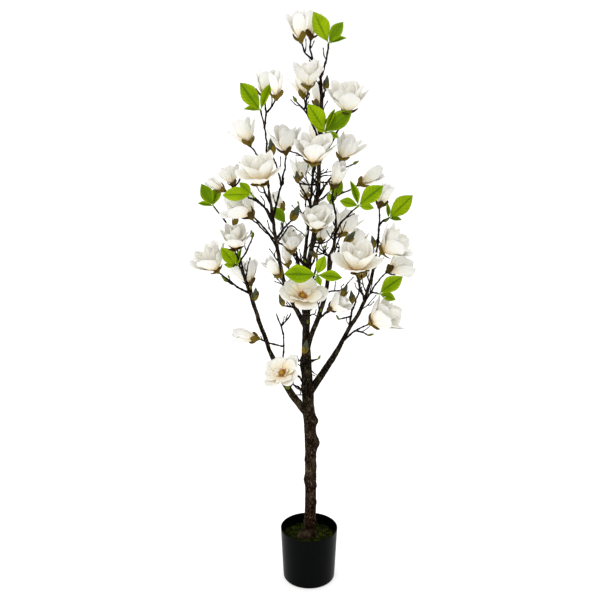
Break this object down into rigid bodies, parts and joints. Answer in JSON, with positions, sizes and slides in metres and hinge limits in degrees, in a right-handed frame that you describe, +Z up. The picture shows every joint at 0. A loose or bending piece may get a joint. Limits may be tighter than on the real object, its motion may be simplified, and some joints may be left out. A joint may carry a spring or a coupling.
{
  "type": "potted artificial magnolia tree",
  "caption": "Slim artificial magnolia tree in a plain black pot: a forked dark trunk, thin boughs, and sprays of white cloth blooms with buds and bright green leaves.",
  "frame": {"origin": "middle of the pot's flat underside, on the surface that the pot stands on", "axes": "+Z up along the trunk, +X to the right of the picture's view, +Y away from the viewer"},
  "size_m": [0.6154, 0.5266, 1.6023],
  "materials": {
    "pot": "satin",
    "fill": "rough",
    "moss": "fibrous",
    "bark": "rough",
    "silk": "matte"
  },
  "bodies": {
    "root": {"bough_back": "bark", "bough_left": "bark", "bough_mid_left": "bark", "bough_mid_right": "bark", "bough_right": "bark", "fill": "fill", "leader": "bark", "moss": "moss", "pot": "pot", "spray_back_high": "silk", "spray_back_left": "silk", "spray_back_low": "silk", "spray_back_middle": "silk", "spray_back_middle_right": "silk", "spray_back_tip": "silk", "spray_front_bloom": "silk", "spray_front_high": "silk", "spray_front_low": "silk", "spray_front_middle": "silk", "spray_high_back": "silk", "spray_high_bud": "silk", "spray_high_front_bud": "silk", "spray_high_left": "silk", "spray_high_right": "silk", "spray_left_back": "silk", "spray_left_bud": "silk", "spray_left_high": "silk", "spray_left_high_back": "silk", "spray_left_middle": "silk", "spray_left_outer": "silk", "spray_left_tip": "silk", "spray_low_back": "silk", "spray_low_front": "silk", "spray_low_left": "silk", "spray_low_right": "silk", "spray_mid_left_bloom": "silk", "spray_mid_left_bud": "silk", "spray_mid_left_front": "silk", "spray_mid_left_leaves": "silk", "spray_mid_left_low": "silk", "spray_mid_left_side": "silk", "spray_mid_left_tip": "silk", "spray_mid_right_back": "silk", "spray_mid_right_bud": "silk", "spray_mid_right_leaves": "silk", "spray_mid_right_low": "silk", "spray_mid_right_tip": "silk", "spray_right_back": "silk", "spray_right_bud": "silk", "spray_right_front": "silk", "spray_right_high": "silk", "spray_right_low": "silk", "spray_right_outer": "silk", "spray_right_side": "silk", "spray_right_tip": "silk", "spray_top": "silk", "trunk": "bark"}
  },
  "joints": []
}
